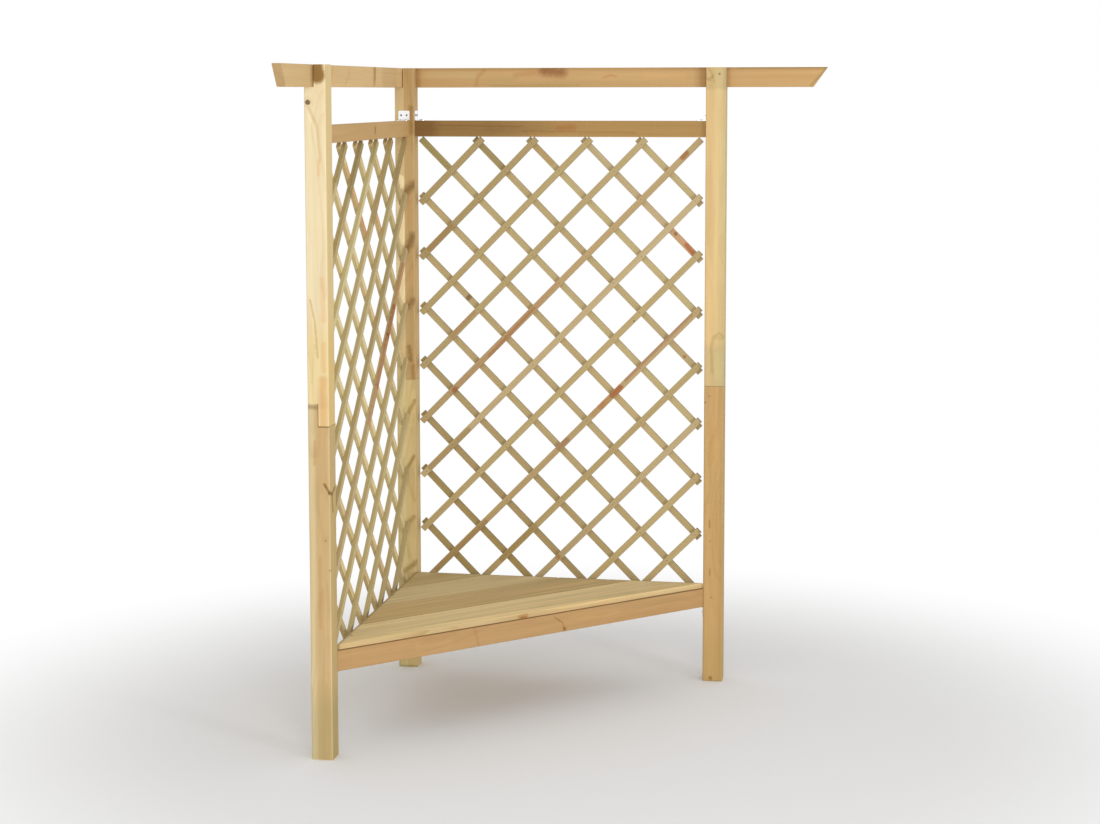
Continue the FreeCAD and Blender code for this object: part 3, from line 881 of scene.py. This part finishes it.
left_lower_marks = (
    band(right_wall, -800, -736, (1.12, 1.22, 1.34), 7),
    band(right_wall, -733, -692, (1.00, 0.97, 0.94), 5),
    # Painted highlight along the rounded edge, then painted shade on the side face
    band(right_wall, -692.5, -688.5, (1.10, 1.10, 1.10), 0.6),
    band(right_wall, -688.4, -600, (0.87, 0.90, 0.83), 0.3),
    band(upright, -100, 200, (0.84, 0.88, 0.84), 60),
    streak([(-689, -426, 842), (-688, -404, 834), (-688, -372, 850)], 9, (0.50, 0.40, 0.28)),
    streak([(-688, -404, 836), (-688, -396, 780)], 10, (0.58, 0.50, 0.36), 1, 0.9, 4),
    streak([(-690, -424, 600)], 6, (0.64, 0.58, 0.48)),
) + marks_on(
    left_post_front,
    ([(-750, 1108), (-728, 1106)], 12, (0.60, 0.57, 0.50), 0.9),
    # Painted shade in the seam of the half lap
    ([(-722, 1117), (-722, 1047), (-680, 1047)], 3.4, (0.30, 0.24, 0.18), 1, 0.8, 1),
    ([(-735, 1000), (-737, 930)], 8, (0.90, 0.80, 0.70), 0.9),
    ([(-705, 868), (-689, 842)], 7, (0.50, 0.40, 0.28)),
    ([(-704, 693)], 5, (0.60, 0.52, 0.42)),
    ([(-722, 640), (-722, 420)], 9, (0.95, 0.86, 0.76), 0.9, 0.9, 5),
    ([(-706, 560), (-706, 250)], 6, (1.06, 1.08, 1.06), 0.9, 0.9, 5),
)
corner_upper_marks = (
    # Painted light on the strip of the post outside the left panel, painted shade at its top beside the
    # rails, and painted light on its inward face
    band(right_wall, -800, -722.5, (1.24, 1.40, 1.62), 1),
    band(upright, 2020, 2300, (0.92, 0.90, 0.90), 40),
    band(right_wall, -690.5, -600, (1.14, 1.18, 1.24), 0.8),
) + marks_on(
    corner_post_front,
    # Painted light where the post shows between the lath ends
    ([(-739, 1760), (-739, 1260)], 17, (1.32, 1.44, 1.70), 1, 0.15, 1),
    # Painted shade below the bracket
    ([(-698, 2010), (-696, 1925)], 17, (0.74, 0.66, 0.56), 1, 0.9, 5),
    # Painted shadows that the ends of the left laths cast on the post
    ([(-720, 1716), (-690, 1740)], 27, painted_cast_shadow, 1, 1, 9),
    ([(-718, 1512), (-704, 1530), (-694, 1560)], 25, painted_cast_shadow, 1, 1, 9),
    ([(-714, 1308), (-694, 1330)], 22, (0.62, 0.55, 0.45), 1, 1, 8),
    ([(-704, 1685), (-702, 1600)], 13, (1.06, 0.96, 0.94), 1, 0.9, 5),
    ([(-704, 1480), (-702, 1380)], 13, (1.04, 0.96, 0.94), 1, 0.9, 5),
    # Painted shadows of the lower lath ends on the post
    ([(-710, 1163), (-705, 1117)], 15, (0.64, 0.55, 0.44), 1, 1, 7),
    ([(-696, 1095), (-696, 1056)], 17, (0.78, 0.68, 0.58), 1, 1, 8),
)
corner_lower_marks = (
    # Painted light on the strip of the post outside the left panel
    band(right_wall, -800, -722.5, (1.05, 1.12, 1.16), 2),
) + marks_on(
    corner_post_front,
    ([(-691, 970), (-708, 940), (-719, 911)], 13, (0.66, 0.60, 0.46), 1, 1, 6),
    ([(-696, 1002), (-701, 883)], 14, (1.12, 1.14, 1.12), 1, 0.9, 5),
    ([(-694, 771), (-707, 749), (-720, 723)], 11, (0.60, 0.54, 0.42), 1, 1, 6),
    ([(-720, 690), (-694, 611)], 14, (0.90, 0.86, 0.76), 1, 1, 8),
    ([(-744, 599)], 10, (0.60, 0.54, 0.40), 1, 0.9, 4),
    ([(-698, 549), (-721, 523)], 14, (0.66, 0.62, 0.50), 1, 1, 7),
    ([(-736, 501), (-718, 406)], 14, (0.88, 0.90, 0.78), 1, 1, 8),
    ([(-744, 340), (-688, 386)], 17, (0.60, 0.56, 0.44), 1, 1, 8),
    ([(-756, 70), (-756, 0), (-690, 0)], 9, (0.60, 0.66, 0.58)),
)
right_upper_marks = (
    band(right_wall, 300, 374, (1.01, 0.95, 0.93), 9),
    band(right_wall, 392, 420, (0.96, 0.97, 0.98), 6),
    band(right_wall, 405, 420, (0.90, 0.95, 0.96), 2),
    # Painted shade at the top beside the rails
    band(upright, 2075, 2200, (0.86, 0.87, 0.87), 8),
    band(upright, 900, 1190, (0.86, 0.88, 0.92), 24),
) + marks_on(
    right_post_front,
    ([(390, 2127)], 6.5, (0.46, 0.40, 0.34)),
    ([(346, 2112), (358, 2108), (366, 2118)], 9, (0.76, 0.78, 0.68), 0.9),
    ([(352, 2146), (366, 2128), (372, 2100)], 5, (0.84, 0.80, 0.66), 0.9),
    ([(371, 1098), (367, 1181), (377, 1220), (395, 1234), (416, 1221)], 9, (0.84, 0.85, 0.76), 1, 1),
    ([(381, 1217), (412, 1217)], 12, (0.88, 0.88, 0.80), 1, 1, 4),
    ([(392, 1154), (392, 1084)], 24, (1.02, 1.08, 1.04), 0.9, 1, 4),
)
right_lower_marks = (
    band(upright, -100, 160, (0.94, 0.98, 0.94), 60),
    band(right_wall, 300, 352, (0.94, 0.97, 0.96), 4),
    band(right_wall, 400, 420, (0.90, 0.95, 0.94), 4),
) + marks_on(
    right_post_front,
    ([(347, 990)], 6, fleck),
    ([(362, 1012)], 5, fleck, 0.8),
    ([(366, 575), (367, 548)], 4.5, fleck, 0.8),
    ([(368, 500)], 5, fleck, 0.8),
    ([(368, 400), (368, 380)], 4.5, fleck, 0.8),
    ([(374, 300)], 5, fleck, 0.8),
    ([(372, 11)], 11, (0.50, 0.45, 0.36)),
    ([(346, 0), (412, 0)], 6, (0.72, 0.74, 0.66)),
    ([(370, 900), (374, 780)], 12, (1.02, 0.92, 0.86), 0.9, 0.9, 6),
)
left_rail_marks = (
    # Painted shade beside the tongue of the left post
    band(left_wall, -446, -426, (0.82, 0.76, 0.70), 7),
    band(left_wall, -800, -430, (0.90, 0.91, 0.90), 4),
    band(left_wall, 400, 600, (0.90, 0.88, 0.86), 24),
) + marks_on(
    left_rail_side,
    ([(296, 2098), (300, 2150)], 30, (0.74, 0.69, 0.60), 1, 1, 6),
    ([(304, 2110), (308, 2150)], 12, (0.62, 0.56, 0.46), 1, 1),
    ([(-230, 2092), (-214, 2120), (-205, 2150)], 10, (0.92, 0.82, 0.72), 0.9),
    ([(-60, 2092), (-20, 2120), (-10, 2150)], 10, (0.93, 0.84, 0.76), 0.9),
)
right_rail_marks = (
    # Painted shade towards the corner and beside the corner post
    band(right_wall, -800, -100, (0.96, 0.96, 0.96), 90),
    band(right_wall, -700, -672, (0.74, 0.66, 0.58), 12),
    band(upright, 2140, 2200, (0.84, 0.80, 0.74), 5),
    # Painted shade beside the right post
    band(right_wall, 318, 346, (0.84, 0.78, 0.70), 7),
    band(right_wall, 400, 424, (0.84, 0.78, 0.72), 6),
) + marks_on(
    right_rail_front,
    ([(-470, 2092), (-466, 2118), (-440, 2142)], 10, (0.88, 0.82, 0.72), 0.9),
    ([(-640, 2128), (-480, 2124)], 24, (1.00, 1.10, 1.14), 0.9, 1, 8),
    ([(-430, 2100), (-330, 2108)], 20, (0.94, 0.99, 0.94), 0.9, 0.9, 6),
    ([(-330, 2126), (-230, 2136)], 14, (0.94, 0.84, 0.78), 0.9, 0.9, 6),
    ([(-225, 2140), (-165, 2134)], 32, (0.60, 0.44, 0.38), 1, 1, 10),
    ([(-420, 2088), (-100, 2088)], 6, (0.88, 0.92, 0.84), 1, 0.9, 4),
    ([(130, 2122), (260, 2120)], 16, (1.08, 1.04, 1.02), 0.9, 0.9, 5),
    ([(-20, 2114), (10, 2124), (25, 2120)], 6, (0.90, 0.74, 0.64), 0.9),
    ([(450, 2150), (756, 2150), (700, 2088)], 7, (0.74, 0.80, 0.68)),
)
right_trellis_rail_marks = (
    # Painted shade towards the corner, and painted light on the underside
    band(right_wall, -800, -300, (0.70, 0.67, 0.62), 170),
    band(right_wall, -800, -610, (0.74, 0.66, 0.56), 30),
    band(upright, 1900, 1914.5, (1.16, 1.16, 1.14), 1.5),
) + marks_on(
    right_trellis_rail_front,
    ([(-170, 1940), (-120, 1944)], 20, (0.90, 0.70, 0.60), 0.9, 1, 6),
    ([(-420, 1940), (-200, 1940)], 40, (0.88, 0.88, 0.86), 0.9, 1, 6),
    ([(-600, 1950), (-300, 1946)], 6, (0.86, 0.80, 0.72), 0.9, 0.9, 4),
    ([(-300, 1930), (100, 1926)], 5, (0.90, 0.84, 0.76), 0.9, 0.9, 4),
)
apron_marks = (
    # Painted shade in the seam under the front board
    band(upright, 329, 340, seam_shade, 1.2),
    streak([(-78, 252, 276), (-82, 248, 296), (-104, 226, 318)], 5, (0.80, 0.70, 0.58)),
    streak([(-76, 254, 273)], 16, (0.84, 0.76, 0.66), 1, 1, 5),
    streak([(-76, 254, 274)], 8, (0.58, 0.48, 0.38), 1, 0.8),
    streak([(-330, 0, 330), (-318, 12, 266)], 8, (0.92, 0.86, 0.80), 0.9),
    streak([(-480, -150, 300), (-400, -70, 296)], 22, (1.06, 1.08, 1.06), 0.9, 1, 9),
    streak([(-40, 290, 300), (80, 410, 300)], 24, (1.05, 1.06, 1.04), 0.9, 1, 9),
)
first_marks = (
    streak([(-205, 125, 340), (-184, 146, 341)], 11, (0.84, 0.66, 0.52), 1, 0.8),
    streak([(-200, 130, 336), (-186, 144, 336)], 5, (0.76, 0.58, 0.44), 1, 0.9, 2),
) + marks_on(
    seat_top,
    ([(-560, -190), (-300, 60)], 26, (1.08, 1.08, 1.06), 0.9, 1, 12),
    ([(-180, 210), (120, 500)], 20, (0.88, 0.90, 0.90), 0.8, 1, 12),
    ([(20, 380), (300, 660)], 12, (0.84, 0.84, 0.80), 0.8, 1, 9),
)
second_marks = marks_on(
    seat_top,
    ([(-520, 60), (-60, 520)], 12, (0.86, 0.82, 0.74), 0.8, 1, 9),
)


# Trellis panels: wall, layer, tone, marks, and the tint of each lath from the top of the far side

panels = (
    ("right", "front", (184, 163, 115), right_front_marks, "oobmrwmrbwmm"),
    ("right", "back", (184, 163, 117), right_back_marks, "swsmsmmmbodd"),
    ("left", "front", (204, 186, 141), left_front_marks, "bosbborbbboo"),
    ("left", "back", (222, 201, 155), left_back_marks, "obbbmsssmbbo"),
)
# Narrow sides of the laths: darker saw-cut wood together with painted shade
sawn_sides_and_shade = {"right": (left_wall, (0.82, 0.80, 0.70)), "left": (right_wall, (0.77, 0.75, 0.63))}
for wall, layer, tone, marks, kinds in panels:
    lath_wood = timber("%s_%s_lath" % (wall, layer), tone, ring=3.6, contrast=0.22, warmth=0.25, knots=0.1,
                       streaks=0.06, marks=marks, sawn_tint_and_shade=sawn_sides_and_shade[wall])
    make_laths(wall, layer, lath_wood, kinds)

nail_steel = metal("nail_steel", (150, 128, 98), 0.5, 500.0)
for wall in ("left", "right"):
    make_nails(wall, nail_steel)


# Finishes of the CAD nodes


def board_edge_shade(name, share, front=False):
    """Painted shade along the long edges of a seat board and painted shadow at its ends by the walls; the
    front board also gets painted shade below its top and a lighter strip along the front of its top.
    """
    across = Vector((1.0, -1.0, 0.0)).normalized()
    reach = [across.dot(vertex.co) / MM for vertex in nodes[name].data.vertices]
    low, high = min(reach), max(reach)
    edges = (
        # Painted shade along the back edge
        band(across, low - seam_reach, low + seam_width, share, 1.2),
        # Painted shadow at the ends by the walls
        band(right_wall, -800, -684, (0.50, 0.46, 0.36), 5),
        band(left_wall, 670, 800, (0.72, 0.68, 0.60), 4),
    )
    if front:
        return edges + (
            # Painted shade in the seam above the apron and on the sides below the top
            band(upright, 300, 333.5, share, 0.8),
            band(upright, 300, 348.5, (0.77, 0.72, 0.70), 0.5),
            band(across, high - 28, high + seam_reach, (1.05, 1.03, 0.99), 10),
        )
    # Painted shade along the front edge
    return edges + (band(across, high - seam_width, high + seam_reach, share, 1.2),)


def dress(name, material):
    """Give a CAD node its material."""
    mesh = nodes[name].data
    mesh.materials.clear()
    mesh.materials.append(material)


def finish(name, tone, direction, **figure):
    """Give a CAD node timber of its own."""
    dress(name, timber(name, tone, direction, **figure))


finish("left_post_upper", (232, 214, 173), upright, pith=(-800, -660), contrast=0.3, warmth=0.3,
       streaks=0.05, marks=left_upper_marks, placed_knots=[([(-744, -426, 2036)], 7.5, (122, 106, 80))])
finish("left_post_lower", (202, 173, 124), upright, pith=(-620, -730), contrast=0.35,
       marks=left_lower_marks)
finish("corner_post_upper", (191, 157, 104), upright, pith=(640, -700), contrast=0.4, greenness=0.4,
       marks=corner_upper_marks)
finish("corner_post_lower", (206, 180, 124), upright, pith=(800, -740), contrast=0.4, warmth=0.2,
       greenness=0.5, marks=corner_lower_marks)
finish("right_post_upper", (218, 190, 134), upright, pith=(640, 360), contrast=0.35,
       marks=right_upper_marks)
finish("right_post_lower", (196, 158, 102), upright, pith=(780, 460), contrast=0.35, greenness=0.2,
       marks=right_lower_marks)
finish("right_top_rail", (198, 160, 107), right_wall, pith=(660, 2190), marks=right_rail_marks)
finish("left_top_rail", (215, 181, 128), left_wall, pith=(690, 2050), greenness=0.15, marks=left_rail_marks)
finish("right_trellis_rail", (173, 136, 81), right_wall, pith=(660, 1990), marks=right_trellis_rail_marks)
finish("left_trellis_rail", (195, 158, 105), left_wall, pith=(660, 1860),
       marks=(band(left_wall, 240, 700, (1.05, 1.06, 1.06), 14),),
       placed_knots=[([(-705, 212, 1932), (-705, 216, 1948)], 4.0, (128, 92, 56))])
finish("seat_board_1", (223, 199, 147), seat_front, pith=(-80, 300), ring=5.0, contrast=0.8, warmth=0.3,
       streaks=0.2, marks=board_edge_shade("seat_board_1", seam_shade, front=True) + first_marks,
       placed_knots=[([(-677, -239, 350)], 3.5, knot_brown)])
finish("seat_board_2", (196, 169, 115), seat_front, pith=(160, 310), ring=6.0, contrast=0.85,
       streaks=0.2, marks=board_edge_shade("seat_board_2", seam_shade) + second_marks)
finish("seat_board_3", (210, 187, 137), seat_front, pith=(360, 300), ring=5.0, contrast=0.75,
       streaks=0.18, marks=board_edge_shade("seat_board_3", faint_seam_shade),
       placed_knots=[([(-683, 313, 350)], 3.0, knot_brown)])
finish("seat_board_4", (189, 166, 113), seat_front, pith=(550, 300), ring=5.0, contrast=0.75, streaks=0.18,
       marks=board_edge_shade("seat_board_4", faint_seam_shade))
finish("seat_apron", (184, 145, 96), seat_front, pith=(-60, 310), contrast=0.3, greenness=0.15,
       marks=apron_marks)
finish("right_seat_bearer", (190, 160, 110), right_wall, knots=0.25)
finish("left_seat_bearer", (192, 164, 114), left_wall, knots=0.25)
finish("middle_seat_bearer", (198, 168, 116), to_corner, knots=0.25)

zinc = metal("zinc_plate", (255, 255, 255), 0.22)
for node_name in nodes:
    if node_name.endswith("_bracket"):
        dress(node_name, zinc)


# Floor, light and camera


def seen_directly(t):
    """One for rays from the camera or by way of a shiny or clear surface, and nought for others."""
    path = t.add("ShaderNodeLightPath").outputs
    seen = t.math("ADD", path["Is Camera Ray"], path["Is Glossy Ray"])
    return t.math("ADD", seen, path["Is Transmission Ray"], clamp=True)


def make_floor():
    """Pale floor that keeps the shadow near the part and turns white further out."""
    mesh = bpy.data.meshes.new("floor")
    low, high = -floor_reach, floor_reach
    corners = [(low, low, 0.0), (high, low, 0.0), (high, high, 0.0), (low, high, 0.0)]
    mesh.from_pydata(corners, [], [(0, 1, 2, 3)])
    floor = new_object("floor", mesh)
    material, t, _ = new_material("floor")
    t.tree.nodes.clear()
    far = t.ramp(t.vector("LENGTH", t.place()), floor_pales_from, floor_white_at)
    grey = t.fill(t.add("ShaderNodeBsdfDiffuse"), Color=(floor_grey, floor_grey, floor_grey, 1.0))[0]
    white = t.fill(t.add("ShaderNodeEmission"), Color=(1.0, 1.0, 1.0, 1.0))[0]
    mixed = t.add("ShaderNodeMixShader")
    for source, socket in zip((t.math("MULTIPLY", far, seen_directly(t)), grey, white), mixed.inputs):
        t.join(source, socket)
    t.fill(t.add("ShaderNodeOutputMaterial"), Surface=mixed.outputs[0])
    mesh.materials.append(material)


def make_world():
    """Even white sky that lights at a plain level and shows as white."""
    world = bpy.data.worlds.new("studio")
    bpy.context.scene.world = world
    world.use_nodes = True
    t = Tree(world.node_tree)
    t.tree.nodes.clear()
    strength = t.line(seen_directly(t), 0.0, 1.0, sky_strength, 1.0)
    sky = t.fill(t.add("ShaderNodeBackground"), Color=(1.0, 1.0, 1.0, 1.0), Strength=strength)[0]
    t.fill(t.add("ShaderNodeOutputWorld"), Surface=sky)


def make_lamp(name, place, target, size, power):
    """Large soft lamp that faces a point of the part."""
    lamp = bpy.data.lights.new(name, "AREA")
    lamp.shape = "DISK"
    lamp.size = size
    lamp.energy = power
    holder = new_object(name, lamp)
    holder.location = place
    holder.rotation_euler = (Vector(target) - Vector(place)).to_track_quat("-Z", "Y").to_euler()


def make_camera():
    """Camera at the photograph's viewing angle."""
    data = bpy.data.cameras.new("camera")
    data.sensor_fit = "HORIZONTAL"
    data.lens = data.sensor_width * focal_pixels / image_width
    data.shift_y = (principal_row - image_height / 2.0) / image_width
    data.clip_end = camera_far_limit
    camera = new_object("camera", data)
    turn = Matrix.Rotation(-camera_yaw, 4, "Z") @ Matrix.Rotation(math.pi / 2.0 + camera_pitch, 4, "X")
    turn = turn @ Matrix.Rotation(camera_roll, 4, "Z")
    camera.matrix_world = Matrix.Translation(camera_place) @ turn
    bpy.context.scene.camera = camera


make_floor()
make_world()
make_lamp("front_lamp", (1.6, -6.2, 2.6), (0.0, 0.0, 1.0), size=3.0, power=112.0)
make_lamp("side_lamp", (6.0, -4.4, 1.2), (0.0, 0.0, 1.2), size=1.0, power=110.0)
make_camera()
bpy.context.scene.view_settings.view_transform = "Standard"
